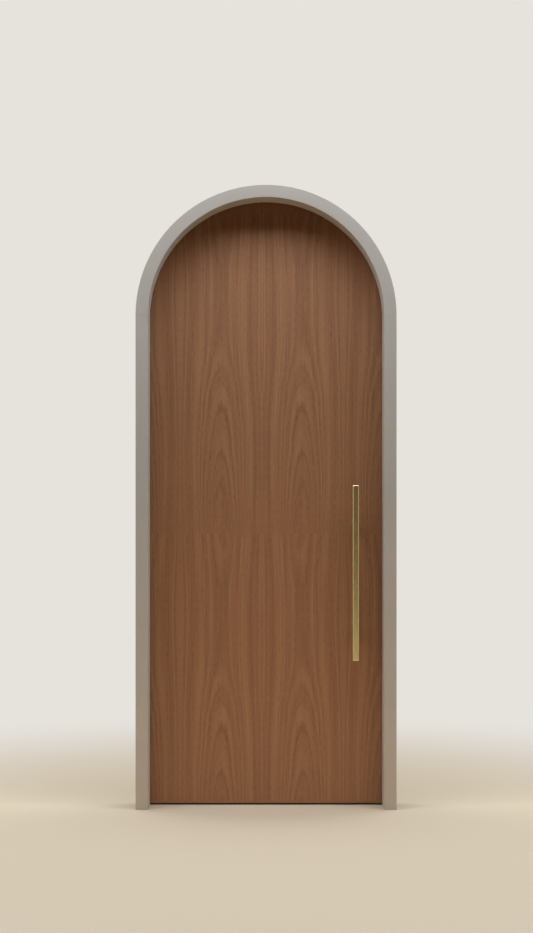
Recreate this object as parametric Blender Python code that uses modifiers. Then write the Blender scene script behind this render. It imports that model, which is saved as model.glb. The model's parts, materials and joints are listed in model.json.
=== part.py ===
"""Arched door: a walnut leaf with a half-round top, hung on four butt hinges in a deep arched lining.

Metres, +Z up. The front faces -Y and the leaf opens away from it, towards +Y. The origin is the centre of the
hinge jamb's foot, on the floor. Shapes are drawn about the middle of the doorway and carried there by an empty;
what swings hangs on a second empty, which stands on the hinge pins' axis.
"""

import math

import bmesh
import bpy
from mathutils import Matrix

# Doorway: the clear opening between the stops, with a half-round head.
OPENING_WIDTH = 0.940
OPENING_HEIGHT = 2.440
# Lining: the fixed frame, as deep as the wall that it stands in.
LINING_DEPTH = 0.150
LINING_THICKNESS = 0.050
REBATE_STEP = 0.015
FRONT_ARRIS = 0.003
BACK_ARRIS = 0.0015
# Leaf: a core between two veneered panels, with solid walnut lippings round the edge.
LEAF_THICKNESS = 0.045
PANEL_THICKNESS = 0.006
LIPPING_THICKNESS = 0.008
LIPPING_ARRIS = 0.001
EDGE_GAP = 0.0065
STOP_GAP = 0.007
UNDERCUT = 0.007
# Seal: a rubber strip with a stem in a groove of the stop and a low bulb towards the leaf.
GROOVE_WIDTH = 0.004
GROOVE_DEPTH = 0.008
SEAL_BULB_WIDTH = 0.007
SEAL_PROUD = 0.002
SEAL_FLOOR_GAP = 0.003
# Butt hinges: two plates let in flush, with five knuckles on one pin.
HINGE_COUNT = 4
LOWEST_HINGE = 0.250
TOP_HINGE_BELOW_SPRINGING = 0.150
HINGE_HEIGHT = 0.102
PLATE_WIDTH = 0.035
PLATE_THICKNESS = 0.003
PLATE_CORNER = 0.006
KNUCKLES = 5
KNUCKLE_WALL = 0.0035
KNUCKLE_GAP = 0.0004
KNUCKLE_STANDOFF = 0.0007
TAB_INSET = 0.001
PIN_RADIUS = 0.004
PIN_HEAD_RADIUS = 0.0065
PIN_HEAD_HEIGHT = 0.004
PIN_HEAD_ROUND = 0.0015
# Magnetic catch: a keep in the latch jamb and a face plate in the leaf's edge.
CATCH_HEIGHT = 1.050
CATCH_LENGTH = 0.070
CATCH_WIDTH = 0.022
CATCH_THICKNESS = 0.002
CATCH_CORNER = 0.005
# Pull bars: squared, with rounded edges, one on each face, back to back, on two posts each.
BAR_LENGTH = 0.706
BAR_SIDE = 0.028
BAR_EDGE_ROUND = 0.006
BAR_EDGE_STEPS = 5
BAR_CENTRE_HEIGHT = 0.942
BAR_FROM_CENTRE_LINE = 0.360
BAR_STANDOFF = 0.062
POST_RADIUS = 0.010
POST_FROM_BAR_END = 0.150
ROSE_RADIUS = 0.0135
ROSE_THICKNESS = 0.004
ROSE_ROUND = 0.0015
# Fits and fineness.
SEAT_GAP = 0.0003
ARCH_STEPS = 36
ROUND_STEPS = 24
CORNER_STEPS = 3

# Worked out from the sizes above.
OPENING_RADIUS = OPENING_WIDTH / 2
SPRINGING = OPENING_HEIGHT - OPENING_RADIUS
OUTER_RADIUS = OPENING_RADIUS + LINING_THICKNESS
REBATE_RADIUS = OPENING_RADIUS + REBATE_STEP
LEAF_RADIUS = REBATE_RADIUS - EDGE_GAP
PANEL_RADIUS = LEAF_RADIUS - LIPPING_THICKNESS - SEAT_GAP
FRONT = -LINING_DEPTH / 2
BACK = LINING_DEPTH / 2
LEAF_FRONT = BACK - LEAF_THICKNESS
STOP_FACE = LEAF_FRONT - STOP_GAP
GROOVE_CENTRE = (OPENING_RADIUS + REBATE_RADIUS) / 2
DOORWAY_X = LINING_THICKNESS / 2 + OPENING_RADIUS
BORE_RADIUS = PIN_RADIUS + SEAT_GAP
KNUCKLE_RADIUS = BORE_RADIUS + KNUCKLE_WALL
KNUCKLE_HEIGHT = (HINGE_HEIGHT - (KNUCKLES - 1) * KNUCKLE_GAP) / KNUCKLES
AXIS_SIDE = REBATE_RADIUS - EDGE_GAP / 2
AXIS_Y = BACK + KNUCKLE_RADIUS + KNUCKLE_STANDOFF
HINGE_SPACING = (SPRINGING - TOP_HINGE_BELOW_SPRINGING - LOWEST_HINGE) / (HINGE_COUNT - 1)
HINGE_SIDE = -1
LATCH_SIDE = 1


def material(name, colour, roughness, metallic=0.0):
    """A Principled BSDF finish."""
    made = bpy.data.materials.new(name)
    made.use_nodes = True
    shader = made.node_tree.nodes["Principled BSDF"]
    shader.inputs["Base Color"].default_value = (*colour, 1.0)
    shader.inputs["Roughness"].default_value = roughness
    shader.inputs["Metallic"].default_value = metallic
    return made


def empty(name, place, collection):
    """A bare axis that pieces hang on."""
    made = bpy.data.objects.new(name, None)
    made.location = place
    collection.objects.link(made)
    return made


def mesh_from(bm, name):
    """The finished mesh of a closed bmesh, faces out, round parts smooth."""
    bmesh.ops.recalc_face_normals(bm, faces=bm.faces)
    mesh = bpy.data.meshes.new(name)
    bm.to_mesh(mesh)
    bm.free()
    mesh.shade_smooth()
    mesh.set_sharp_from_angle(angle=math.radians(30))
    return mesh


def corner(centre, radius, start, steps=CORNER_STEPS):
    """Points of a quarter round about centre, turning left from the angle start."""
    turns = [start + step * math.pi / 2 / steps for step in range(steps + 1)]
    return [(centre[0] + radius * math.cos(turn), centre[1] + radius * math.sin(turn)) for turn in turns]


def rounded_outline(low, high, radius):
    """A rectangle between two corners with all four rounded."""
    return (
        corner((high[0] - radius, high[1] - radius), radius, 0)
        + corner((low[0] + radius, high[1] - radius), radius, math.pi / 2)
        + corner((low[0] + radius, low[1] + radius), radius, math.pi)
        + corner((high[0] - radius, low[1] + radius), radius, 1.5 * math.pi)
    )


def straight_run(name, section, side, bottom, top):
    """A section, given as distance from the doorway's centre line and depth, run straight up one side."""
    bm = bmesh.new()
    face = bm.faces.new([bm.verts.new((side * away, y, bottom)) for away, y in section])
    run = bmesh.ops.extrude_face_region(bm, geom=[face])["geom"]
    far_end = [item for item in run if isinstance(item, bmesh.types.BMVert)]
    bmesh.ops.translate(bm, verts=far_end, vec=(0, 0, top - bottom))
    return mesh_from(bm, name)


def arched_run(name, section, start, end):
    """The same section turned round the arch's centre, by angles from the latch side's springing."""
    bm = bmesh.new()
    bm.faces.new([bm.verts.new((away, y, 0)) for away, y in section])
    bmesh.ops.rotate(bm, cent=(0, 0, 0), matrix=Matrix.Rotation(-start, 3, "Y"), verts=bm.verts)
    bmesh.ops.spin(
        bm,
        geom=[*bm.verts, *bm.edges, *bm.faces],
        cent=(0, 0, 0),
        axis=(0, 1, 0),
        angle=start - end,
        steps=round(ARCH_STEPS * (end - start) / (math.pi / 2)),
    )
    bmesh.ops.translate(bm, verts=bm.verts, vec=(0, 0, SPRINGING))
    return mesh_from(bm, name)


def edgewise_plate(name, outline, x_low, x_high):
    """A plate that lies in the YZ plane, from its outline and its two faces' places."""
    bm = bmesh.new()
    face = bm.faces.new([bm.verts.new((x_low, y, z)) for y, z in outline])
    run = bmesh.ops.extrude_face_region(bm, geom=[face])["geom"]
    far_face = [item for item in run if isinstance(item, bmesh.types.BMVert)]
    bmesh.ops.translate(bm, verts=far_face, vec=(x_high - x_low, 0, 0))
    return mesh_from(bm, name)


def upright_cylinders(name, x, y, spans, radius):
    """Cylinders on one upright line, each from a low to a high end."""
    bm = bmesh.new()
    for low, high in spans:
        bmesh.ops.create_cone(
            bm,
            cap_ends=True,
            segments=ROUND_STEPS,
            radius1=radius,
            radius2=radius,
            depth=high - low,
            matrix=Matrix.Translation((x, y, (low + high) / 2)),
        )
    return mesh_from(bm, name)


def turned(name, half_profile):
    """A half profile of radius and height, top to bottom, turned about Z by a Screw modifier."""
    mesh = bpy.data.meshes.new(name)
    links = [(index, index + 1) for index in range(len(half_profile) - 1)]
    mesh.from_pydata([(radius, 0, height) for radius, height in half_profile], links, [])
    obj = bpy.data.objects.new(name, mesh)
    screw = obj.modifiers.new("turn", "SCREW")
    screw.steps = screw.render_steps = ROUND_STEPS
    screw.use_merge_vertices = True
    screw.merge_threshold = 0.00005
    return obj


class Assembly:
    """Puts pieces into the model: its collections, empties and finishes."""

    def __init__(self):
        scene = bpy.context.scene.collection
        self.parts = bpy.data.collections.new("arched_door")
        self.cutters = bpy.data.collections.new("cutters")
        scene.children.link(self.parts)
        scene.children.link(self.cutters)
        self.doorway = empty("doorway", (DOORWAY_X, 0, 0), self.parts)
        self.swing = empty("swing", (-AXIS_SIDE, AXIS_Y, 0), self.parts)
        self.swing.parent = self.doorway
        self.paint = material("lining_paint", (0.29, 0.255, 0.215), 0.85)
        self.walnut = material("walnut", (0.18, 0.085, 0.045), 0.45)
        self.core_board = material("core_board", (0.42, 0.30, 0.17), 0.8)
        self.brass = material("satin_brass", (0.50, 0.38, 0.17), 0.35, 1.0)
        self.rubber = material("seal_rubber", (0.02, 0.02, 0.02), 0.7)

    def add(self, obj, finish, swings):
        """Links a piece under the empty that carries it and gives it its finish."""
        obj.parent = self.swing if swings else self.doorway
        if swings:
            obj.location.x += AXIS_SIDE
            obj.location.y -= AXIS_Y
        obj.data.materials.append(finish)
        self.parts.objects.link(obj)
        return obj

    def add_mesh(self, mesh, finish, swings):
        """A piece whose mesh is drawn about the doorway's middle."""
        return self.add(bpy.data.objects.new(mesh.name, mesh), finish, swings)

    def cutter(self, mesh, swings):
        """A hidden shape for Booleans, drawn about the doorway's middle."""
        obj = bpy.data.objects.new(mesh.name, mesh)
        obj.parent = self.swing if swings else self.doorway
        if swings:
            obj.location = (AXIS_SIDE, -AXIS_Y, 0)
        obj.hide_render = True
        obj.display_type = "WIRE"
        self.cutters.objects.link(obj)
        return obj


def boolean(obj, cutter, operation="DIFFERENCE"):
    """A live Boolean on a piece."""
    modifier = obj.modifiers.new(cutter.name, "BOOLEAN")
    modifier.operation = operation
    modifier.object = cutter


def lining_section():
    """The lining's section: a rebate behind, a grooved stop, and a rounded arris at the front."""
    groove_low = GROOVE_CENTRE - GROOVE_WIDTH / 2
    groove_high = GROOVE_CENTRE + GROOVE_WIDTH / 2
    front_edge = corner((OPENING_RADIUS + FRONT_ARRIS, FRONT + FRONT_ARRIS), FRONT_ARRIS, math.pi)
    return [
        *front_edge,
        (OUTER_RADIUS, FRONT),
        (OUTER_RADIUS, BACK),
        (REBATE_RADIUS + BACK_ARRIS, BACK),
        (REBATE_RADIUS, BACK - BACK_ARRIS),
        (REBATE_RADIUS, STOP_FACE),
        (groove_high, STOP_FACE),
        (groove_high, STOP_FACE - GROOVE_DEPTH),
        (groove_low, STOP_FACE - GROOVE_DEPTH),
        (groove_low, STOP_FACE),
        (OPENING_RADIUS, STOP_FACE),
    ]


def seal_section():
    """The seal's section: a stem in the groove and a bulb that lies on the stop."""
    stem = GROOVE_WIDTH / 2 - SEAT_GAP
    base = STOP_FACE + SEAT_GAP
    bulb_turns = [math.pi * step / 6 for step in range(7)]
    bulb = [
        (
            GROOVE_CENTRE + SEAL_BULB_WIDTH / 2 * math.cos(turn),
            base + (SEAL_PROUD - SEAT_GAP) * math.sin(turn),
        )
        for turn in bulb_turns
    ]
    return [
        *bulb,
        (GROOVE_CENTRE - stem, base),
        (GROOVE_CENTRE - stem, STOP_FACE - GROOVE_DEPTH + SEAT_GAP),
        (GROOVE_CENTRE + stem, STOP_FACE - GROOVE_DEPTH + SEAT_GAP),
        (GROOVE_CENTRE + stem, base),
    ]


def lipping_section():
    """The lipping's section: a strip as deep as the leaf, its outer edges eased."""
    inner = LEAF_RADIUS - LIPPING_THICKNESS
    return [
        (inner, LEAF_FRONT),
        (LEAF_RADIUS - LIPPING_ARRIS, LEAF_FRONT),
        (LEAF_RADIUS, LEAF_FRONT + LIPPING_ARRIS),
        (LEAF_RADIUS, BACK - LIPPING_ARRIS),
        (LEAF_RADIUS - LIPPING_ARRIS, BACK),
        (inner, BACK),
    ]


def arched_outline(radius, bottom):
    """The outline of an arched board, as seen from the front."""
    steps = 2 * ARCH_STEPS
    arch = [
        (radius * math.cos(math.pi * step / steps), SPRINGING + radius * math.sin(math.pi * step / steps))
        for step in range(steps + 1)
    ]
    return [*arch, (-radius, bottom), (radius, bottom)]


def arched_board(name, front, back):
    """A flat board with the panel's outline, between two depths."""
    curve = bpy.data.curves.new(name, "CURVE")
    curve.dimensions = "2D"
    curve.fill_mode = "BOTH"
    curve.extrude = (back - front) / 2
    spline = curve.splines.new("POLY")
    outline = arched_outline(PANEL_RADIUS, UNDERCUT + LIPPING_THICKNESS + SEAT_GAP)
    spline.points.add(len(outline) - 1)
    for point, (x, z) in zip(spline.points, outline):
        point.co = (x, z, 0, 1)
    spline.use_cyclic_u = True
    obj = bpy.data.objects.new(name, curve)
    obj.rotation_euler.x = math.pi / 2
    obj.location.y = (front + back) / 2
    return obj


def hinge_bottom(number):
    """Height of a hinge's lower end, counted from the lowest hinge."""
    return LOWEST_HINGE + number * HINGE_SPACING - HINGE_HEIGHT / 2


def knuckle_span(hinge, number):
    """Low and high end of one knuckle."""
    low = hinge_bottom(hinge) + number * (KNUCKLE_HEIGHT + KNUCKLE_GAP)
    return low, low + KNUCKLE_HEIGHT


def hinge_plate_outline(hinge, knuckles):
    """A plate's outline in Y and Z, with a tab at each knuckle that it carries."""
    low = hinge_bottom(hinge)
    high = low + HINGE_HEIGHT
    inner = BACK - PLATE_WIDTH
    outline = [
        *corner((inner + PLATE_CORNER, high - PLATE_CORNER), PLATE_CORNER, math.pi / 2),
        *corner((inner + PLATE_CORNER, low + PLATE_CORNER), PLATE_CORNER, math.pi),
        (BACK, low),
    ]
    for number in knuckles:
        tab_low, tab_high = knuckle_span(hinge, number)
        outline += [
            (BACK, tab_low + TAB_INSET),
            (AXIS_Y, tab_low + TAB_INSET),
            (AXIS_Y, tab_high - TAB_INSET),
            (BACK, tab_high - TAB_INSET),
        ]
    return [*outline, (BACK, high)]


def mortice_outline(hinge):
    """The pocket that a plate is let into: the plate with its clearance, open at the back face."""
    low = hinge_bottom(hinge) - SEAT_GAP
    high = hinge_bottom(hinge) + HINGE_HEIGHT + SEAT_GAP
    inner = BACK - PLATE_WIDTH - SEAT_GAP
    past_back = BACK + PLATE_THICKNESS
    radius = PLATE_CORNER + SEAT_GAP
    return [
        *corner((inner + radius, high - radius), radius, math.pi / 2),
        *corner((inner + radius, low + radius), radius, math.pi),
        (past_back, low),
        (past_back, high),
    ]


def build_lining(model):
    """Two jambs, two quarters of the arched head, and the seal in three lengths."""
    section = lining_section()
    joint_turn = SEAT_GAP / 2 / OPENING_RADIUS
    crown = math.pi / 2
    pieces = [
        straight_run("hinge_jamb", section, HINGE_SIDE, 0, SPRINGING - SEAT_GAP),
        straight_run("latch_jamb", section, LATCH_SIDE, 0, SPRINGING - SEAT_GAP),
        arched_run("arch_head_latch_side", section, 0, crown - joint_turn),
        arched_run("arch_head_hinge_side", section, crown + joint_turn, math.pi),
    ]
    jambs_and_head = {mesh.name: model.add_mesh(mesh, model.paint, False) for mesh in pieces}
    seal = seal_section()
    for name, side in (("seal_hinge_side", HINGE_SIDE), ("seal_latch_side", LATCH_SIDE)):
        mesh = straight_run(name, seal, side, SEAL_FLOOR_GAP, SPRINGING - SEAT_GAP)
        model.add_mesh(mesh, model.rubber, False)
    model.add_mesh(arched_run("seal_arch", seal, 0, math.pi), model.rubber, False)
    return jambs_and_head


def build_leaf(model):
    """The leaf's core, two veneered panels and four lippings."""
    back_of_front = LEAF_FRONT + PANEL_THICKNESS
    front_of_back = BACK - PANEL_THICKNESS
    boards = [
        ("front_panel", LEAF_FRONT, back_of_front, model.walnut),
        ("leaf_core", back_of_front + SEAT_GAP, front_of_back - SEAT_GAP, model.core_board),
        ("back_panel", front_of_back, BACK, model.walnut),
    ]
    for name, front, back, finish in boards:
        model.add(arched_board(name, front, back), finish, True)
    section = lipping_section()
    top = SPRINGING - SEAT_GAP
    lippings = {}
    for name, side in (("hinge_lipping", HINGE_SIDE), ("latch_lipping", LATCH_SIDE)):
        mesh = straight_run(name, section, side, UNDERCUT, top)
        lippings[name] = model.add_mesh(mesh, model.walnut, True)
    model.add_mesh(arched_run("arch_lipping", section, 0, math.pi), model.walnut, True)
    foot = [
        (LEAF_FRONT, UNDERCUT + LIPPING_THICKNESS),
        (LEAF_FRONT, UNDERCUT + LIPPING_ARRIS),
        (LEAF_FRONT + LIPPING_ARRIS, UNDERCUT),
        (BACK - LIPPING_ARRIS, UNDERCUT),
        (BACK, UNDERCUT + LIPPING_ARRIS),
        (BACK, UNDERCUT + LIPPING_THICKNESS),
    ]
    model.add_mesh(edgewise_plate("foot_lipping", foot, -PANEL_RADIUS, PANEL_RADIUS), model.walnut, True)
    return lippings


def hinge_pin(number):
    """A pin with a low round head above the top knuckle."""
    top = hinge_bottom(number) + HINGE_HEIGHT + SEAT_GAP
    head_top = top + PIN_HEAD_HEIGHT
    round_top = corner((PIN_HEAD_RADIUS - PIN_HEAD_ROUND, head_top - PIN_HEAD_ROUND), PIN_HEAD_ROUND, 0)
    profile = [
        (0, head_top),
        *reversed(round_top),
        (PIN_HEAD_RADIUS, top),
        (PIN_RADIUS, top),
        (PIN_RADIUS, hinge_bottom(number)),
        (0, hinge_bottom(number)),
    ]
    return turned(f"hinge_{number + 1}_pin", profile)


def build_hinges(model, jamb, lipping):
    """Butt hinges: the jamb's plate carries the odd knuckles, the leaf's the even ones."""
    jamb_face = -REBATE_RADIUS
    leaf_face = -LEAF_RADIUS
    pocket = PLATE_THICKNESS + SEAT_GAP
    halves = [
        ("jamb_plate", range(0, KNUCKLES, 2), (jamb_face - PLATE_THICKNESS, jamb_face), False),
        ("leaf_plate", range(1, KNUCKLES, 2), (leaf_face, leaf_face + PLATE_THICKNESS), True),
    ]
    for hinge in range(HINGE_COUNT):
        for half, carried, (low_face, high_face), swings in halves:
            name = f"hinge_{hinge + 1}_{half}"
            outline = hinge_plate_outline(hinge, carried)
            plate = model.add_mesh(edgewise_plate(name, outline, low_face, high_face), model.brass, swings)
            spans = [knuckle_span(hinge, number) for number in carried]
            barrel = upright_cylinders(f"{name}_barrel", -AXIS_SIDE, AXIS_Y, spans, KNUCKLE_RADIUS)
            boolean(plate, model.cutter(barrel, swings), "UNION")
            through = [(hinge_bottom(hinge) - KNUCKLE_WALL, hinge_bottom(hinge) + HINGE_HEIGHT + KNUCKLE_WALL)]
            bore = upright_cylinders(f"{name}_bore", -AXIS_SIDE, AXIS_Y, through, BORE_RADIUS)
            boolean(plate, model.cutter(bore, swings))
        outline = mortice_outline(hinge)
        into_jamb = edgewise_plate(f"jamb_pocket_{hinge + 1}", outline, jamb_face - pocket, leaf_face)
        boolean(jamb, model.cutter(into_jamb, False))
        into_leaf = edgewise_plate(f"leaf_pocket_{hinge + 1}", outline, jamb_face, leaf_face + pocket)
        boolean(lipping, model.cutter(into_leaf, True))
        pin = hinge_pin(hinge)
        pin.location = (-AXIS_SIDE, AXIS_Y, 0)
        model.add(pin, model.brass, False)


def build_catch(model, jamb, lipping):
    """The magnetic catch: two plates, let in flush, that face each other across the gap."""
    middle = (LEAF_FRONT + BACK) / 2
    low = (middle - CATCH_WIDTH / 2, CATCH_HEIGHT - CATCH_LENGTH / 2)
    high = (middle + CATCH_WIDTH / 2, CATCH_HEIGHT + CATCH_LENGTH / 2)
    plate = rounded_outline(low, high, CATCH_CORNER)
    pocket = rounded_outline(
        (low[0] - SEAT_GAP, low[1] - SEAT_GAP),
        (high[0] + SEAT_GAP, high[1] + SEAT_GAP),
        CATCH_CORNER + SEAT_GAP,
    )
    deep = CATCH_THICKNESS + SEAT_GAP
    keep = edgewise_plate("catch_keep", plate, REBATE_RADIUS, REBATE_RADIUS + CATCH_THICKNESS)
    model.add_mesh(keep, model.brass, False)
    keep_pocket = edgewise_plate("keep_pocket", pocket, LEAF_RADIUS, REBATE_RADIUS + deep)
    boolean(jamb, model.cutter(keep_pocket, False))
    face = edgewise_plate("catch_plate", plate, LEAF_RADIUS - CATCH_THICKNESS, LEAF_RADIUS)
    model.add_mesh(face, model.brass, True)
    face_pocket = edgewise_plate("face_pocket", pocket, LEAF_RADIUS - deep, REBATE_RADIUS)
    boolean(lipping, model.cutter(face_pocket, True))


def pull_bar(name):
    """A solid squared bar along Z, its middle at the origin, with every edge and corner rounded."""
    bm = bmesh.new()
    bmesh.ops.create_cube(bm, size=1, matrix=Matrix.Diagonal((BAR_SIDE, BAR_SIDE, BAR_LENGTH, 1)))
    bmesh.ops.bevel(
        bm,
        geom=bm.edges[:],
        offset=BAR_EDGE_ROUND,
        segments=BAR_EDGE_STEPS,
        profile=0.5,
        affect="EDGES",
        material=-1,
    )
    return bpy.data.objects.new(name, mesh_from(bm, name))


def pull_post(name):
    """A post along +Z, from its rose to the flat of the bar."""
    start = ROSE_THICKNESS
    bar_flat = BAR_STANDOFF - BAR_SIDE / 2 - SEAT_GAP
    eased = corner((ROSE_RADIUS - ROSE_ROUND, start - ROSE_ROUND), ROSE_ROUND, 0)
    profile = [
        (0, bar_flat),
        (POST_RADIUS, bar_flat),
        (POST_RADIUS, start),
        *reversed(eased),
        (ROSE_RADIUS, SEAT_GAP),
        (0, SEAT_GAP),
    ]
    return turned(name, profile)


def build_pulls(model):
    """A pull bar on each face, each on two posts that stand against its flat."""
    for face, outward, surface in (("front", -1, LEAF_FRONT), ("back", 1, BACK)):
        bar = pull_bar(f"{face}_pull_bar")
        bar.location = (BAR_FROM_CENTRE_LINE, surface + outward * BAR_STANDOFF, BAR_CENTRE_HEIGHT)
        model.add(bar, model.brass, True)
        reach = BAR_LENGTH / 2 - POST_FROM_BAR_END
        for place, height in (("lower", BAR_CENTRE_HEIGHT - reach), ("upper", BAR_CENTRE_HEIGHT + reach)):
            post = pull_post(f"{face}_pull_{place}_post")
            post.rotation_euler.x = -outward * math.pi / 2
            post.location = (BAR_FROM_CENTRE_LINE, surface, height)
            model.add(post, model.brass, True)


def main():
    """Builds the door in an emptied scene."""
    for obj in list(bpy.data.objects):
        bpy.data.objects.remove(obj, do_unlink=True)
    model = Assembly()
    lining = build_lining(model)
    lippings = build_leaf(model)
    build_hinges(model, lining["hinge_jamb"], lippings["hinge_lipping"])
    build_catch(model, lining["latch_jamb"], lippings["latch_lipping"])
    build_pulls(model)


main()
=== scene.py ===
"""Looks of the arched door: book-matched walnut leaf, painted plaster lining and satin brass fittings.

Everything is in metres in the frame's own axes: +Z up, the front faces -Y, the leaf opens towards +Y.
"""

import json
import logging
import math
from collections.abc import Callable, Sequence
from dataclasses import dataclass
from enum import Enum
from functools import partial

import bmesh
import bpy
from mathutils import Matrix, Vector


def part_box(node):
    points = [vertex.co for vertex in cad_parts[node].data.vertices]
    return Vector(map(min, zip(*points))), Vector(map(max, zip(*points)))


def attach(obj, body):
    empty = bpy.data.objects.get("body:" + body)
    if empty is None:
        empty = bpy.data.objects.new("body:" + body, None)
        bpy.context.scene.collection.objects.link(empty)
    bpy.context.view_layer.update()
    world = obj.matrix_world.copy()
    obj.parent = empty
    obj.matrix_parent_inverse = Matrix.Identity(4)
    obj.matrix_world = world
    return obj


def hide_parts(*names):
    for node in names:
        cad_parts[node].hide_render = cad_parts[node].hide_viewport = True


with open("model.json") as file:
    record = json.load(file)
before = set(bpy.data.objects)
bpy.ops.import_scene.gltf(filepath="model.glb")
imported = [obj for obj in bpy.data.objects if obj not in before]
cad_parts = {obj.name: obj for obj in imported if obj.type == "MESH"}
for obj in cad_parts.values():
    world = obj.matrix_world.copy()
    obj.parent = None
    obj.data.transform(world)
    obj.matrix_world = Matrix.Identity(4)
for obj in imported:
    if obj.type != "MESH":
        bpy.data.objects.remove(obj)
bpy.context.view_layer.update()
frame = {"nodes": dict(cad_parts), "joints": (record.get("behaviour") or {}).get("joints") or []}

LINING = "lining"
LEAF = "leaf"
SHARP_ANGLE = math.radians(35)
ARCH_STEPS = 144
MERGE_DISTANCE = 1e-6
log = logging.getLogger("arched_door")

Adder = Callable[..., bpy.types.Node]
Source = bpy.types.Node | bpy.types.NodeSocket
Pair = tuple[float, float]
Triple = tuple[float, float, float]


def linear(code: str) -> tuple[float, float, float, float]:
    """Turns an sRGB hex colour into Blender's linear colour.

    Args:
        code: Six hex digits, with or without a leading #.

    Returns:
        Red, green, blue and an alpha of 1.
    """
    digits = code.lstrip("#")
    channels = [int(digits[place : place + 2], 16) / 255 for place in (0, 2, 4)]
    curved = [c / 12.92 if c <= 0.04045 else ((c + 0.055) / 1.055) ** 2.4 for c in channels]
    return (*curved, 1.0)


def add_node(
    tree: bpy.types.NodeTree, kind: str, inputs: dict | None = None, **settings: object
) -> bpy.types.Node:
    """Adds a node with its settings, and fills or links its inputs.

    Args:
        tree: The node tree that it goes in.
        kind: The node's type name, without the ShaderNode in front.
        inputs: Input name or number to a value, to an output, or to a node, which stands for its result.
        settings: The node's own properties.

    Returns:
        The new node.
    """
    node = tree.nodes.new(f"ShaderNode{kind}")
    for name, value in settings.items():
        setattr(node, name, value)
    for place, value in (inputs or {}).items():
        if isinstance(value, bpy.types.Node):
            value = next(output for output in value.outputs if output.enabled)
        if isinstance(value, bpy.types.NodeSocket):
            tree.links.new(value, node.inputs[place])
        else:
            node.inputs[place].default_value = value
    return node


def new_material(name: str) -> tuple[bpy.types.Material, Adder]:
    """Makes a material with an empty node tree.

    Args:
        name: What the finish is.

    Returns:
        The material, and what adds a node to it.
    """
    material = bpy.data.materials.new(name)
    material.use_nodes = True
    material.node_tree.nodes.clear()
    return material, partial(add_node, material.node_tree)


def finish_shader(add: Adder, inputs: dict) -> None:
    """Ends a material in a Principled shader.

    Args:
        add: Adds a node to the material.
        inputs: The shader's inputs, by name.
    """
    add("OutputMaterial", {"Surface": add("BsdfPrincipled", inputs)})


def drawn_noise(add: Adder, place: Source, pitch: Triple, detail: float, roughness: float = 0.5) -> Source:
    """A noise that is drawn out along the grain.

    Args:
        add: Adds a node to the material.
        place: A vector in metres whose Z runs with the grain.
        pitch: Length of a wave across, in depth and along the grain.
        detail: How many times finer waves are laid over it.
        roughness: Strength of the finer waves.

    Returns:
        The noise, about 0.5.
    """
    size = [1 / length for length in pitch]
    spot = add("VectorMath", {0: place, 1: size}, operation="MULTIPLY")
    return add("TexNoise", {"Vector": spot, "Scale": 1.0, "Detail": detail, "Roughness": roughness})


def fade(
    add: Adder, value: Source, start: float, end: float, low: float = 0.0, high: float = 1.0
) -> Source:
    """A smooth fade from one level to another.

    Args:
        add: Adds a node to the tree.
        value: What the fade runs along.
        start: Where it starts.
        end: Where it ends.
        low: The level up to its start.
        high: The level past its end.

    Returns:
        The level.
    """
    ends = {"From Min": start, "From Max": end, "To Min": low, "To Max": high}
    return add("MapRange", {"Value": value, **ends}, interpolation_type="SMOOTHSTEP")


class Grain(Enum):
    """Which way the grain of a solid piece of walnut runs."""

    UPRIGHT = "upright"
    LEVEL = "level"
    BENT = "bent round the arch"


class Face(Enum):
    """A face of the door, and which way it looks along Y."""

    FRONT = -1
    BACK = 1


@dataclass(frozen=True)
class Doorway:
    """The doorway's sizes, read from the frame.

    Attributes:
        middle: X of the doorway's centre line.
        springing: Height at which the half-round head starts.
        opening: Half the clear width, and the head's inner radius.
        rebated: Half the width between the rebates, in which the leaf lies.
        outer: The head's outer radius.
        front: Y of the lining's front face.
        back: Y of the lining's back face, and of the leaf's.
        leaf_front: Y of the leaf's front face.
        leaf_radius: The leaf's own half width.
        pins: X and Y of the hinge pins' axis.
    """

    middle: float
    springing: float
    opening: float
    rebated: float
    outer: float
    front: float
    back: float
    leaf_front: float
    leaf_radius: float
    pins: Pair

    @classmethod
    def from_frame(cls) -> "Doorway":
        """Reads the sizes off the frame's nodes.

        Returns:
            The sizes.
        """
        hinge_low, hinge_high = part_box("hinge_jamb")
        latch_low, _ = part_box("latch_jamb")
        head_low, head_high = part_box("arch_head_hinge_side")
        leaf_low, leaf_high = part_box("arch_lipping")
        keep_low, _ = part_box("catch_keep")
        joint = frame["joints"][0]["pos_m"]
        middle = (hinge_high.x + latch_low.x) / 2
        return cls(
            middle=middle,
            springing=head_low.z,
            opening=(latch_low.x - hinge_high.x) / 2,
            rebated=keep_low.x - middle,
            outer=head_high.z - head_low.z,
            front=hinge_low.y,
            back=hinge_high.y,
            leaf_front=leaf_low.y,
            leaf_radius=(leaf_high.x - leaf_low.x) / 2,
            pins=(joint[0], joint[1]),
        )


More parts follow.
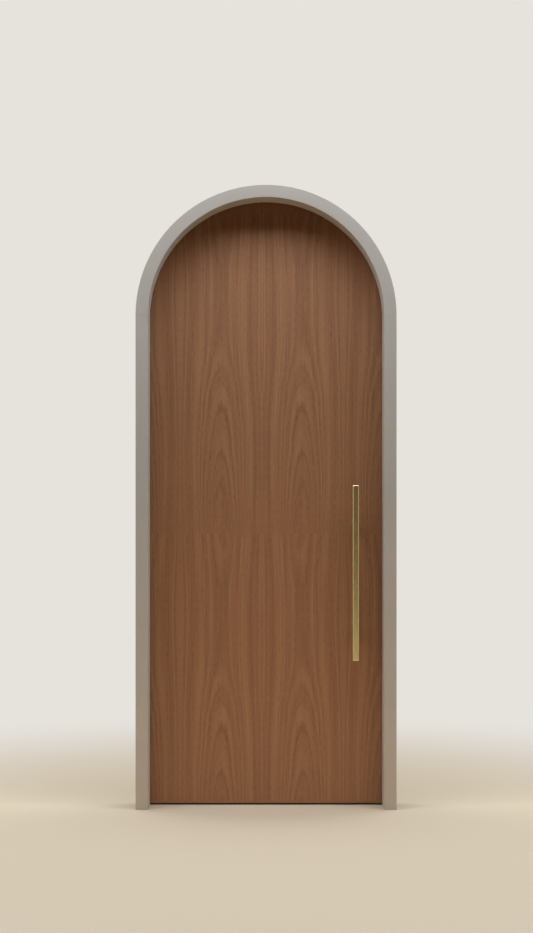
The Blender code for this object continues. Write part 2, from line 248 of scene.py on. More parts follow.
@dataclass(frozen=True)
class LimePaint:
    """Dead flat lime paint on hard plaster, rolled on.

    It shows no gloss, only a soft clouding a hand wide and a faint roller stipple.

    Attributes:
        colour: The paint as it dries.
        cloud: The same paint where it lies a little thicker.
        cloud_size: Width of a cloud.
        stipple: Pitch of the roller's stipple, drawn at twice its real 1.5 mm so that it shows.
        relief: Height of the stipple.
    """

    colour: str = "#a0978c"
    cloud: str = "#a79e94"
    cloud_size: float = 0.18
    stipple: float = 0.003
    relief: float = 0.0001

    def material(self) -> bpy.types.Material:
        """Builds the paint.

        Returns:
            The material.
        """
        made, add = new_material("lime_paint")
        place = add("TexCoord").outputs["Object"]
        clouds = add("TexNoise", {"Vector": place, "Scale": 1 / self.cloud_size, "Detail": 4.0})
        tone = add("Mix", {0: clouds, 6: linear(self.colour), 7: linear(self.cloud)}, data_type="RGBA")
        stipple = add("TexNoise", {"Vector": place, "Scale": 1 / self.stipple, "Detail": 2.0})
        bump = add("Bump", {"Distance": self.relief, "Strength": 0.6, "Height": stipple})
        dry = {"Base Color": tone, "Roughness": 0.88, "Specular IOR Level": 0.3, "Normal": bump}
        finish_shader(add, dry)
        return made


@dataclass(frozen=True)
class WalnutTone:
    """The colours of American black walnut under a satin oil-lacquer.

    Attributes:
        light: Early wood, in the palest bands.
        middle: The body of the wood.
        dark: Late wood, at the edge of a growth ring.
        red: A warmer streak that runs through the body.
        roughness: Roughness of the lacquer between pores and in them.
        fibre: Size of a bundle of fibres across, in depth and along the grain.
        pore: Size of a pore, drawn at six times its real width of 0.25 mm so that it shows.
        streak: Size of a warmer streak.
        fibre_share: How much the fibres darken the wood.
        pore_share: How much the pores do.
        relief: Height of the pores' relief.
    """

    light: str = "#946b46"
    middle: str = "#835939"
    dark: str = "#6b442b"
    red: str = "#885839"
    roughness: Pair = (0.44, 0.58)
    fibre: Triple = (0.008, 0.008, 0.45)
    pore: Triple = (0.0015, 0.0015, 0.020)
    streak: Triple = (1 / 22, 1 / 22, 1 / 1.1)
    fibre_share: float = 1.0
    pore_share: float = 0.9
    relief: float = 0.0001

    def dress(self, add: Adder, along: Source, rings: Source) -> None:
        """Colours the wood and ends the material.

        Args:
            add: Adds a node to the material.
            along: A vector whose Z runs with the grain.
            rings: Darkness from 0 to 1, as the growth rings give it.
        """
        fibres = drawn_noise(add, along, self.fibre, 4.0, 0.7)
        pores = drawn_noise(add, along, self.pore, 1.0)
        streaks = drawn_noise(add, along, self.streak, 2.0)
        fibrous = add("Math", {0: fibres, 1: self.fibre_share, 2: rings}, operation="MULTIPLY_ADD")
        porous = add("Math", {0: pores, 1: self.pore_share, 2: fibrous}, operation="MULTIPLY_ADD")
        noise_mean = (self.fibre_share + self.pore_share) / 2
        darkness = add("Math", {0: porous, 1: noise_mean}, operation="SUBTRACT", use_clamp=True)
        body = add("Mix", {0: streaks, 6: linear(self.middle), 7: linear(self.red)}, data_type="RGBA")
        to_body = add("MapRange", {"Value": darkness, "From Min": 0.0, "From Max": 0.5})
        to_dark = add("MapRange", {"Value": darkness, "From Min": 0.5, "From Max": 1.0})
        pale = add("Mix", {0: to_body, 6: linear(self.light), 7: body}, data_type="RGBA")
        wood = add("Mix", {0: to_dark, 6: pale, 7: linear(self.dark)}, data_type="RGBA")
        shine = add("MapRange", {"Value": pores, "To Min": self.roughness[0], "To Max": self.roughness[1]})
        bump = add("Bump", {"Distance": self.relief, "Strength": 0.35, "Height": pores})
        satin = {"Base Color": wood, "Roughness": shine, "Specular IOR Level": 0.52, "Normal": bump}
        finish_shader(add, satin)


@dataclass(frozen=True)
class BookMatchedWalnut:
    """Crown-cut walnut veneer in book-matched sheets: cathedrals that point up, over a small eye.

    The knife passes the log's heart at a distance that changes along the sheet. A ring of one radius then
    shows wherever the place on the sheet is that far from the heart, which draws the cathedrals.

    Attributes:
        tone: The wood's colours.
        joint: X of one joint between sheets, about which the figure is mirrored.
        sheet: Width of a sheet.
        repeat: Height in which the figure comes back, as in sheets cut from one length of log.
        top: Height at which one such length starts.
        deepest: Greatest distance of the knife from the heart.
        straighten: Distance from the sheet's middle at which the rings run up twice as steeply.
        lopsided: How much wider the half sheet beside that joint is drawn.
        knife: Share of a length from its top, with the knife's squared distance as a share of the greatest.
        flank_knife: The same towards a sheet's edges, where the rings run on past the next length's seam.
        flank: Distances from the sheet's middle between which the one becomes the other.
        heart: Radius of a place between rings in metres, with its darkness, up to the outermost cathedral.
        joint_flank: The same further out, on the side of that joint.
        far_flank: The same on the other side.
        halves_meet: Distance from the sheet's middle within which both sides blend.
        eye: Middle of the small eye, across the sheet and down from a length's top.
        eye_size: Half width and half height of the eye.
        eye_tilt: Lean of the eye in degrees.
        eye_dip: How far the squared distance from the heart dips in the eye.
        wanders: Sizes of a wander of the grain that every sheet repeats, with how far it goes.
        door_wander: The same for a wander that differs from sheet to sheet.
        ragged: The same for the fine raggedness of a ring's edge.
        band_share: How much the rings above darken the wood.
        fine_share: How much the fine lines between them do.
        fine_pitch: Pitch of the fine lines.
        fine_shift: How far into them the joint's side starts.
        crown_contrast: Contrast of the rings inside the cathedrals, as a share of that at the sheet's edges.
        crown: Distances from the sheet's middle between which the one becomes the other.
        foot_contrast: Contrast at the foot of a length, as a share of that above it.
        foot: Shares of a length between which the one becomes the other.
        mean_rings: The rings' mean darkness, to which they fade.
        ground: What is taken off the rings' darkness, so that its mean is the body of the wood.
    """

    tone: WalnutTone
    joint: float
    sheet: float = 0.3308
    repeat: float = 1.297
    top: float = 2.396
    deepest: float = 0.0961
    straighten: float = 0.300
    lopsided: float = 1.06
    knife: tuple[Pair, ...] = (
        (0.0, 0.844), (0.063, 0.887), (0.10, 0.931), (0.166, 0.985), (0.266, 1.0), (0.35, 0.987),
        (0.369, 0.982), (0.406, 0.952), (0.453, 0.863), (0.516, 0.698), (0.578, 0.547), (0.641, 0.438),
        (0.703, 0.357), (0.744, 0.319), (0.781, 0.265), (0.828, 0.206), (0.888, 0.146), (0.909, 0.114),
        (0.931, 0.135), (0.963, 0.087), (1.0, 0.043),
    )
    flank_knife: tuple[Pair, ...] = (
        (0.0, 0.56), (0.10, 0.74), (0.20, 0.94), (0.30, 1.0), (0.37, 0.97),
        (0.50, 0.76), (0.65, 0.46), (0.78, 0.34), (0.90, 0.42), (1.0, 0.56),
    )
    flank: Pair = (0.055, 0.105)
    heart: tuple[Pair, ...] = (
        (0.020, 0.35), (0.026, 0.6), (0.031, 0.3), (0.034, 0.7), (0.037, 0.4), (0.0424, 0.85),
        (0.0445, 0.5), (0.0495, 0.3), (0.0528, 0.95), (0.0546, 0.75), (0.0556, 0.2), (0.059, 0.4),
        (0.0654, 0.6), (0.068, 0.95), (0.070, 0.8), (0.0708, 0.2), (0.0768, 0.2), (0.0778, 0.9),
        (0.0825, 0.65), (0.087, 0.45), (0.0912, 0.3), (0.0938, 0.45), (0.0952, 0.85), (0.0968, 0.42),
    )
    joint_flank: tuple[Pair, ...] = (
        (0.1007, 0.6), (0.104, 0.35), (0.1096, 0.75), (0.115, 0.3), (0.121, 0.2), (0.126, 0.4),
        (0.132, 0.15), (0.1405, 0.25), (0.1475, 0.8), (0.1587, 0.85), (0.168, 0.5), (0.1794, 0.65),
        (0.186, 0.25), (0.193, 0.65), (0.198, 0.25), (0.220, 0.35),
    )
    far_flank: tuple[Pair, ...] = (
        (0.100, 0.6), (0.1035, 0.25), (0.107, 0.3), (0.1112, 0.8), (0.115, 0.5), (0.1215, 0.1),
        (0.132, 0.15), (0.144, 0.7), (0.150, 0.5), (0.1607, 0.75), (0.172, 0.5), (0.181, 0.25),
        (0.188, 0.65), (0.196, 0.4), (0.220, 0.3),
    )
    halves_meet: float = 0.02
    eye: Pair = (0.012, 0.030)
    eye_size: Pair = (0.024, 0.060)
    eye_tilt: float = -20.0
    eye_dip: float = 0.0022
    wanders: tuple[tuple[Triple, float], ...] = (((0.12, 0.12, 0.5), 0.004), ((0.02, 0.02, 0.09), 0.0012))
    door_wander: tuple[Triple, float] = ((0.4, 0.4, 0.7), 0.003)
    ragged: tuple[Triple, float] = ((0.007, 0.007, 0.06), 0.0013)
    band_share: float = 0.53
    fine_share: float = 1.3
    fine_pitch: float = 1 / 160
    fine_shift: float = 0.7
    crown_contrast: float = 0.7
    crown: Pair = (0.05, 0.11)
    foot_contrast: float = 0.6
    foot: Pair = (0.82, 0.98)
    mean_rings: float = 0.92
    ground: float = 0.415

    def material(self) -> bpy.types.Material:
        """Builds the veneer.

        Returns:
            The material.
        """
        made, add = new_material("book_matched_walnut")
        place = add("TexCoord").outputs["Object"]
        axes = add("SeparateXYZ", {0: place}).outputs
        from_joint = add("Math", {0: axes["X"], 1: self.joint}, operation="SUBTRACT")
        folded = add("Math", {0: from_joint, 1: self.sheet}, operation="PINGPONG")
        across = add("Math", {0: self.sheet / 2, 1: folded}, operation="SUBTRACT")
        below = add("Math", {0: self.top, 1: axes["Z"]}, operation="SUBTRACT")
        lengths = add("Math", {0: below, 1: self.repeat}, operation="DIVIDE")
        share = add("Math", {0: lengths}, operation="FRACT")
        down = add("Math", {0: share, 1: self.repeat}, operation="MULTIPLY")
        on_sheet = add("CombineXYZ", {0: across, 2: down})
        radius = self.radius(add, on_sheet, across, share, place)
        self.tone.dress(add, on_sheet, self.darkness(add, radius, across, share))
        return made

    def wander(self, add: Adder, place: Source, pitch: Triple, reach: float) -> Source:
        """A smooth wander of the grain.

        Args:
            add: Adds a node to the material.
            place: Where on the sheet, with Z along the grain.
            pitch: Size of a wander across, in depth and along the grain.
            reach: How far it goes to each side.

        Returns:
            The shift, in metres.
        """
        noise = drawn_noise(add, place, pitch, 2.0)
        ends = {"From Min": 0.25, "From Max": 0.75, "To Min": -reach, "To Max": reach}
        return add("MapRange", {"Value": noise, **ends}, clamp=False)

    def curve(self, add: Adder, value: Source, stops: Sequence[Pair]) -> Source:
        """A smooth curve through given stops.

        Args:
            add: Adds a node to the material.
            value: What runs along the curve, from 0 to 1.
            stops: The stops, each from 0 to 1 on both axes.

        Returns:
            The curve's height.
        """
        node = add("FloatCurve", {"Value": value})
        points = node.mapping.curves[0].points
        for _ in stops[2:]:
            points.new(0.5, 0.5)
        for point, stop in zip(points, stops):
            point.location = stop
            point.handle_type = "AUTO_CLAMPED"
        node.mapping.update()
        return node

    def eye_depth(self, add: Adder, on_sheet: Source) -> Source:
        """How far the small eye lowers the squared distance from the log's heart.

        Args:
            add: Adds a node to the material.
            on_sheet: The place on the sheet.

        Returns:
            A number below nought in the eye, and nought outside it.
        """
        middle = (self.eye[0], 0, self.eye[1])
        scale = (1 / self.eye_size[0], 0, 1 / self.eye_size[1])
        away = add("VectorMath", {0: on_sheet, 1: middle}, operation="SUBTRACT")
        tilt = {"Vector": away, "Angle": math.radians(self.eye_tilt)}
        leant = add("VectorRotate", tilt, rotation_type="Y_AXIS")
        scaled = add("VectorMath", {0: leant, 1: scale}, operation="MULTIPLY")
        far = add("VectorMath", {0: scaled}, operation="LENGTH")
        return fade(add, far, 0.0, 1.0, -self.eye_dip, 0.0)

    def radius(self, add: Adder, on_sheet: Source, across: Source, share: Source, place: Source) -> Source:
        """Distance of each place of the sheet from the log's heart.

        Args:
            add: Adds a node to the material.
            on_sheet: The place on the sheet.
            across: Distance from the sheet's middle, positive towards the joint.
            share: Share of the length, from its top.
            place: The place on the door, which differs from sheet to sheet.

        Returns:
            The distance, in metres.
        """
        half = add("Math", {0: across, 1: 0.0}, operation="GREATER_THAN")
        widen = add("MapRange", {"Value": half, "To Min": 1.0, "To Max": 1 / self.lopsided})
        side = add("Math", {0: across, 1: widen}, operation="MULTIPLY")
        wanders = [(on_sheet, *wander) for wander in self.wanders]
        for spot, pitch, reach in (*wanders, (place, *self.door_wander)):
            side = add("Math", {0: side, 1: self.wander(add, spot, pitch, reach)}, operation="ADD")
        square = add("Math", {0: side, 1: side}, operation="MULTIPLY")
        steeper = add("Math", {0: square, 1: 1 / self.straighten**2, 2: 1.0}, operation="MULTIPLY_ADD")
        outer = fade(add, add("Math", {0: side}, operation="ABSOLUTE"), *self.flank)
        inner_cut = self.curve(add, share, self.knife)
        outer_cut = self.curve(add, share, self.flank_knife)
        cut = add("Mix", {0: outer, 2: inner_cut, 3: outer_cut})
        spread = add("Math", {0: square, 1: steeper}, operation="MULTIPLY")
        squared = add("Math", {0: cut, 1: self.deepest**2, 2: spread}, operation="MULTIPLY_ADD")
        dipped = add("Math", {0: squared, 1: self.eye_depth(add, on_sheet)}, operation="ADD")
        smooth = add("Math", {0: dipped, 1: 0.5}, operation="POWER")
        return add("Math", {0: smooth, 1: self.wander(add, on_sheet, *self.ragged)}, operation="ADD")

    def darkness(self, add: Adder, radius: Source, across: Source, share: Source) -> Source:
        """How dark the growth rings make each place.

        Args:
            add: Adds a node to the material.
            radius: Distance from the log's heart.
            across: Distance from the sheet's middle, positive towards the joint.
            share: Share of the length, from its top.

        Returns:
            The darkness, mostly between 0 and 1.
        """
        outermost = self.joint_flank[-1][0]
        outward = add("Math", {0: radius, 1: 1 / outermost}, operation="MULTIPLY")
        halves = []
        for flank, start in ((self.far_flank, 0.0), (self.joint_flank, self.fine_shift)):
            stops = [(ring / outermost, dark) for ring, dark in (*self.heart, *flank)]
            rings = self.curve(add, outward, stops)
            shifted = add("Math", {0: radius, 1: start}, operation="ADD")
            lines = {"W": shifted, "Scale": 1 / self.fine_pitch, "Detail": 4.0, "Roughness": 0.75}
            fine = add("TexNoise", lines, noise_dimensions="1D")
            bands = add("Math", {0: rings, 1: self.band_share}, operation="MULTIPLY")
            halves.append(add("Math", {0: fine, 1: self.fine_share, 2: bands}, operation="MULTIPLY_ADD"))
        side = fade(add, across, -self.halves_meet, self.halves_meet)
        both = add("Mix", {0: side, 2: halves[0], 3: halves[1]})
        reach = add("Math", {0: across}, operation="ABSOLUTE")
        crown = fade(add, reach, *self.crown, self.crown_contrast)
        foot = fade(add, share, *self.foot, 1.0, self.foot_contrast)
        contrast = add("Math", {0: crown, 1: foot}, operation="MULTIPLY")
        even = add("Mix", {0: contrast, 2: self.mean_rings, 3: both})
        return add("Math", {0: even, 1: self.ground}, operation="SUBTRACT")


@dataclass(frozen=True)
class SolidWalnut:
    """Solid straight-grained walnut, planed and lacquered like the veneer beside it.

    Attributes:
        tone: The wood's colours.
        grain: Which way the grain runs.
        ring: Size of a pair of growth rings across, in depth and along the grain.
    """

    tone: WalnutTone
    grain: Grain
    ring: Triple = (0.012, 0.024, 1 / 0.6)

    def material(self) -> bpy.types.Material:
        """Builds the wood.

        Returns:
            The material.
        """
        made, add = new_material(f"solid_walnut_{self.grain.name.lower()}")
        source = "UV" if self.grain is Grain.BENT else "Object"
        axes = add("SeparateXYZ", {0: add("TexCoord").outputs[source]}).outputs
        across, lengthwise = {Grain.UPRIGHT: "XZ", Grain.LEVEL: "ZX", Grain.BENT: "YX"}[self.grain]
        along = add("CombineXYZ", {0: axes[across], 1: axes["Y"], 2: axes[lengthwise]})
        self.tone.dress(add, along, drawn_noise(add, along, self.ring, 3.0))
        return made


@dataclass(frozen=True)
class CoreBoard:
    """Pale chipboard, pressed, which shows only as a hairline between veneered panels.

    Attributes:
        colour: The board between its chips.
        chip: The lighter chips.
        chip_size: Size of a chip.
    """

    colour: str = "#a98d63"
    chip: str = "#c7ad82"
    chip_size: float = 0.003

    def material(self) -> bpy.types.Material:
        """Builds the board.

        Returns:
            The material.
        """
        made, add = new_material("chipboard")
        place = add("TexCoord").outputs["Object"]
        chips = add("TexVoronoi", {"Vector": place, "Scale": 1 / self.chip_size})
        tone = add("Mix", {0: chips, 6: linear(self.colour), 7: linear(self.chip)}, data_type="RGBA")
        finish_shader(add, {"Base Color": tone, "Roughness": 0.85})
        return made


@dataclass(frozen=True)
class SatinBrass:
    """Solid brass, brushed lengthwise and lacquered: a soft gleam with faint hair lines.

    Attributes:
        colour: The brass.
        shade: The same brass, a little tarnished under the lacquer.
        shade_size: Width of a tarnished cloud.
        roughness: Roughness of the brushed face, from the hair lines' floors to their crests.
        brush: Size of a brush line, drawn at four times its real width of 0.1 mm so that it shows.
        relief: Depth of a brush line.
    """

    colour: str = "#e3d39a"
    shade: str = "#d9c98f"
    shade_size: float = 1 / 18
    roughness: Pair = (0.20, 0.32)
    brush: Triple = (0.0004, 0.0004, 1 / 12)
    relief: float = 0.00002

    def material(self) -> bpy.types.Material:
        """Builds the metal.

        Returns:
            The material.
        """
        made, add = new_material("satin_brass")
        place = add("TexCoord").outputs["Object"]
        hairs = drawn_noise(add, place, self.brush, 2.0)
        clouds = add("TexNoise", {"Vector": place, "Scale": 1 / self.shade_size, "Detail": 3.0})
        tone = add("Mix", {0: clouds, 6: linear(self.colour), 7: linear(self.shade)}, data_type="RGBA")
        shine = add("MapRange", {"Value": hairs, "To Min": self.roughness[0], "To Max": self.roughness[1]})
        bump = add("Bump", {"Distance": self.relief, "Strength": 0.3, "Height": hairs})
        finish_shader(add, {"Base Color": tone, "Metallic": 1.0, "Roughness": shine, "Normal": bump})
        return made


@dataclass(frozen=True)
class SealRubber:
    """Extruded black rubber, dull with a faint bloom.

    Attributes:
        colour: The rubber.
        bloom: The paler bloom on it.
        bloom_size: Width of a patch of bloom.
    """

    colour: str = "#1c1b1a"
    bloom: str = "#2c2b2a"
    bloom_size: float = 1 / 60

    def material(self) -> bpy.types.Material:
        """Builds the rubber.

        Returns:
            The material.
        """
        made, add = new_material("extruded_rubber")
        place = add("TexCoord").outputs["Object"]
        bloom = add("TexNoise", {"Vector": place, "Scale": 1 / self.bloom_size, "Detail": 3.0})
        tone = add("Mix", {0: bloom, 6: linear(self.colour), 7: linear(self.bloom)}, data_type="RGBA")
        finish_shader(add, {"Base Color": tone, "Roughness": 0.85, "Specular IOR Level": 0.2})
        return made


@dataclass(frozen=True)
class Magnet:
    """Nickel-plated magnet, ground flat: a cool grey with fine scratches.

    Attributes:
        colour: The nickel.
        scratch: Length of a scratch.
        roughness: Roughness of the ground face, between scratches and in them.
    """

    colour: str = "#a9a7a1"
    scratch: float = 1 / 900
    roughness: Pair = (0.22, 0.40)

    def material(self) -> bpy.types.Material:
        """Builds the plating.

        Returns:
            The material.
        """
        made, add = new_material("nickel_plate")
        place = add("TexCoord").outputs["Object"]
        lines = add("TexNoise", {"Vector": place, "Scale": 1 / self.scratch, "Detail": 3.0})
        shine = add("MapRange", {"Value": lines, "To Min": self.roughness[0], "To Max": self.roughness[1]})
        finish_shader(add, {"Base Color": linear(self.colour), "Metallic": 1.0, "Roughness": shine})
        return made


@dataclass(frozen=True)
class Finishes:
    """Every material of the door, made once."""

    paint: bpy.types.Material
    veneer: bpy.types.Material
    upright_walnut: bpy.types.Material
    level_walnut: bpy.types.Material
    bent_walnut: bpy.types.Material
    core: bpy.types.Material
    brass: bpy.types.Material
    rubber: bpy.types.Material
    nickel: bpy.types.Material

    @classmethod
    def make(cls, doorway: Doorway, joint_left: float = 0.0174) -> "Finishes":
        """Makes the materials.

        Args:
            doorway: The doorway's sizes, which place the veneer's joints.
            joint_left: How far left of the doorway's middle one joint stands.

        Returns:
            The finishes.
        """
        tone = WalnutTone()
        return cls(
            paint=LimePaint().material(),
            veneer=BookMatchedWalnut(tone, joint=doorway.middle - joint_left).material(),
            upright_walnut=SolidWalnut(tone, Grain.UPRIGHT).material(),
            level_walnut=SolidWalnut(tone, Grain.LEVEL).material(),
            bent_walnut=SolidWalnut(tone, Grain.BENT).material(),
            core=CoreBoard().material(),
            brass=SatinBrass().material(),
            rubber=SealRubber().material(),
            nickel=Magnet().material(),
        )


def dress_nodes(material: bpy.types.Material, *names: str) -> None:
    """Gives nodes of the frame their finish.

    Args:
        material: The finish.
        names: The nodes.
    """
    for name in names:
        mesh = frame["nodes"][name].data
        mesh.materials.clear()
        mesh.materials.append(material)
        log.info("node %s: %s", name, material.name)


def finish_piece(
    bm: bmesh.types.BMesh, name: str, material: bpy.types.Material, body: str, slot: str = "", *nodes: str
) -> None:
    """Turns a finished bmesh into a piece that rides on a body.

    Args:
        bm: The shape, in the frame's own axes. It is freed.
        name: The piece's name.
        material: Its finish.
        body: The body that it rides on.
        slot: The record's slot for that finish, or nothing where it has none. It is not used.
        nodes: The frame's nodes that the piece stands for.
    """
    bmesh.ops.recalc_face_normals(bm, faces=bm.faces)
    mesh = bpy.data.meshes.new(name)
    bm.to_mesh(mesh)
    bm.free()
    mesh.shade_smooth()
    mesh.set_sharp_from_angle(angle=SHARP_ANGLE)
    mesh.materials.append(material)
    piece = bpy.data.objects.new(name, mesh)
    bpy.context.scene.collection.objects.link(piece)
    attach(piece, body)
    if nodes:
        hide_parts(*nodes)
    log.info("piece %s on %s: %d faces", name, body, len(mesh.polygons))


def quarter_round(centre: Pair, radius: float, start: float, steps: int) -> list[Pair]:
    """Corners of a quarter circle.

    Args:
        centre: Its centre.
        radius: Its radius.
        start: Angle at which it starts, in radians.
        steps: Its steps.

    Returns:
        The corners in order, both ends among them.
    """
    turns = [start + step * math.pi / 2 / steps for step in range(steps + 1)]
    return [(centre[0] + radius * math.cos(turn), centre[1] + radius * math.sin(turn)) for turn in turns]


def ease_edges(bm: bmesh.types.BMesh, edges: list[bmesh.types.BMEdge], offset: float, segments: int) -> None:
    """Rounds edges over.

    Args:
        bm: The bmesh.
        edges: The edges.
        offset: How far the round reaches to each side.
        segments: Steps in the round.
    """
    bmesh.ops.bevel(
        bm, geom=edges, offset=offset, segments=segments, profile=0.5, affect="EDGES", material=-1
    )


def swept_arch(doorway: Doorway, section: list[Pair]) -> bmesh.types.BMesh:
    """Turns a section through the half circle of the head.

    Args:
        doorway: The doorway's sizes.
        section: Corners as radius and depth, in order.

    Returns:
        The closed shape, in place.
    """
    bm = bmesh.new()
    bm.faces.new([bm.verts.new((radius, depth, 0)) for radius, depth in section])
    geometry = [*bm.verts, *bm.edges, *bm.faces]
    bmesh.ops.spin(bm, geom=geometry, cent=(0, 0, 0), axis=(0, 1, 0), angle=-math.pi, steps=ARCH_STEPS)
    bmesh.ops.translate(bm, verts=bm.verts, vec=(doorway.middle, 0, doorway.springing))
    return bm


def add_turned(bm: bmesh.types.BMesh, profile: list[Pair], centre: Vector, axis: Vector, steps: int) -> None:
    """Adds a turned shape to a bmesh.

    Args:
        bm: The bmesh.
        profile: Corners as distance from the axis and place along it, from the axis back to it, or round to
            where they started.
        centre: Where the axis starts.
        axis: Its direction, one long.
        steps: Sides of the shape.
    """
    side = axis.orthogonal().normalized()
    looped = profile[0] == profile[-1]
    places = profile[:-1] if looped else profile
    verts = [bm.verts.new(centre + side * out + axis * along) for out, along in places]
    edges = [bm.edges.new(pair) for pair in zip(verts, verts[1:])]
    if looped:
        edges.append(bm.edges.new((verts[-1], verts[0])))
    bmesh.ops.spin(
        bm, geom=[*verts, *edges], cent=centre, axis=axis, angle=2 * math.pi, steps=steps, use_merge=True
    )
    bmesh.ops.remove_doubles(bm, verts=bm.verts, dist=MERGE_DISTANCE)


@dataclass
class PlasteredLining:
    """The fixed lining: its jambs and arched head, and its seal.

    Attributes:
        doorway: The doorway's sizes.
        finishes: The door's materials.
        stop_gap: Gap between stop and leaf.
        front_arris: Radius of the front edge.
        back_arris: Chamfer of the back edge.
        groove: Width and depth of the seal's groove.
    """

    doorway: Doorway
    finishes: Finishes
    stop_gap: float = 0.007
    front_arris: float = 0.003
    back_arris: float = 0.0015
    groove: Pair = (0.004, 0.008)

    def section(self) -> list[Pair]:
        """The lining's section as radius and depth, with a finely rounded front edge.

        Returns:
            Its corners in order.
        """
        inner, outer, rebated = self.doorway.opening, self.doorway.outer, self.doorway.rebated
        front, back = self.doorway.front, self.doorway.back
        stop = self.doorway.leaf_front - self.stop_gap
        middle = (inner + rebated) / 2
        half = self.groove[0] / 2
        arris = self.front_arris
        return [
            *quarter_round((inner + arris, front + arris), arris, math.pi, 8),
            (outer, front),
            (outer, back),
            (rebated + self.back_arris, back),
            (rebated, back - self.back_arris),
            (rebated, stop),
            (middle + half, stop),
            (middle + half, stop - self.groove[1]),
            (middle - half, stop - self.groove[1]),
            (middle - half, stop),
            (inner, stop),
        ]

    def build(self) -> None:
        """Makes the smooth head and dresses the rest."""
        bm = swept_arch(self.doorway, self.section())
        heads = ("arch_head_hinge_side", "arch_head_latch_side")
        finish_piece(bm, "plastered_head", self.finishes.paint, LINING, "lining_paint", *heads)
        dress_nodes(self.finishes.paint, "hinge_jamb", "latch_jamb")
        dress_nodes(self.finishes.rubber, "seal_hinge_side", "seal_latch_side", "seal_arch")


@dataclass
class VeneeredLeaf:
    """The leaf: veneered panels, core and solid lippings.

    Attributes:
        doorway: The doorway's sizes.
        finishes: The door's materials.
        arris: Chamfer of the lipping's outer edges.
        seal_inset: Distance of the foot's seal from the leaf's front face. The seal is a dark strip that
            stands in for the shade in the gap.
        seal_width: Width of that seal.
        seal_gap: Its gap to the floor and to the leaf's foot.
        seal_taper: Shares of its width and height at which its lower edges narrow.
        seal_round: Radius of its edges.
    """

    doorway: Doorway
    finishes: Finishes
    arris: float = 0.001
    seal_inset: float = 0.003
    seal_width: float = 0.006
    seal_gap: float = 0.0006
    seal_taper: Pair = (0.3, 0.7)
    seal_round: float = 0.0002

    def bent_lipping(self) -> None:
        """Makes the lipping that is bent round the head, with its grain along the bend."""
        low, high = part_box("hinge_lipping")
        outer = self.doorway.leaf_radius
        inner = outer - (high.x - low.x)
        front, back = self.doorway.leaf_front, self.doorway.back
        section = [
            (inner, front),
            (outer - self.arris, front),
            (outer, front + self.arris),
            (outer, back - self.arris),
            (outer - self.arris, back),
            (inner, back),
        ]
        bm = swept_arch(self.doorway, section)
        layer = bm.loops.layers.uv.new("bend")
        for face in bm.faces:
            for loop in face.loops:
                out = loop.vert.co - Vector((self.doorway.middle, 0, self.doorway.springing))
                loop[layer].uv = (math.atan2(out.z, out.x) * outer, out.y)
        finish_piece(bm, "bent_lipping", self.finishes.bent_walnut, LEAF, "walnut", "arch_lipping")

    def shade_gap_seal(self) -> None:
        """Makes a black rubber strip under the leaf, which shows as the dark line over the floor. It is
        partly a seal and partly painted shade: a dark thing put in the shaded gap that also blocks the light
        from behind.
        """
        low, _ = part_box("hinge_lipping")
        _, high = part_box("latch_lipping")
        front = self.doorway.leaf_front + self.seal_inset
        top, width = low.z - self.seal_gap, self.seal_width
        narrow, wide = self.seal_taper
        corners = (
            (0.0, top),
            (width, top),
            (width, top * wide),
            (width * wide, self.seal_gap),
            (width * narrow, self.seal_gap),
            (0.0, top * wide),
        )
        bm = bmesh.new()
        start = low.x + self.arris
        profile = bm.faces.new([bm.verts.new((start, front + y, z)) for y, z in corners])
        grown = bmesh.ops.extrude_face_region(bm, geom=[profile])["geom"]
        moved = [item for item in grown if isinstance(item, bmesh.types.BMVert)]
        bmesh.ops.translate(bm, verts=moved, vec=(high.x - self.arris - start, 0, 0))
        ease_edges(bm, bm.edges[:], self.seal_round, 2)
        # Painted shade: the black strip fills the gap under the leaf so that the gap shows as a dark shaded
        # line. It also blocks the light from behind.
        finish_piece(bm, "shade_gap_seal", self.finishes.rubber, LEAF, "seal_rubber")

    def build(self) -> None:
        """Makes the bent lipping and the foot's seal, a dark strip that stands in for the shade in the gap
        under the leaf, and dresses the rest.
        """
        self.bent_lipping()
        dress_nodes(self.finishes.veneer, "front_panel", "back_panel")
        dress_nodes(self.finishes.upright_walnut, "hinge_lipping", "latch_lipping")
        dress_nodes(self.finishes.level_walnut, "foot_lipping")
        dress_nodes(self.finishes.core, "leaf_core")
        self.shade_gap_seal()


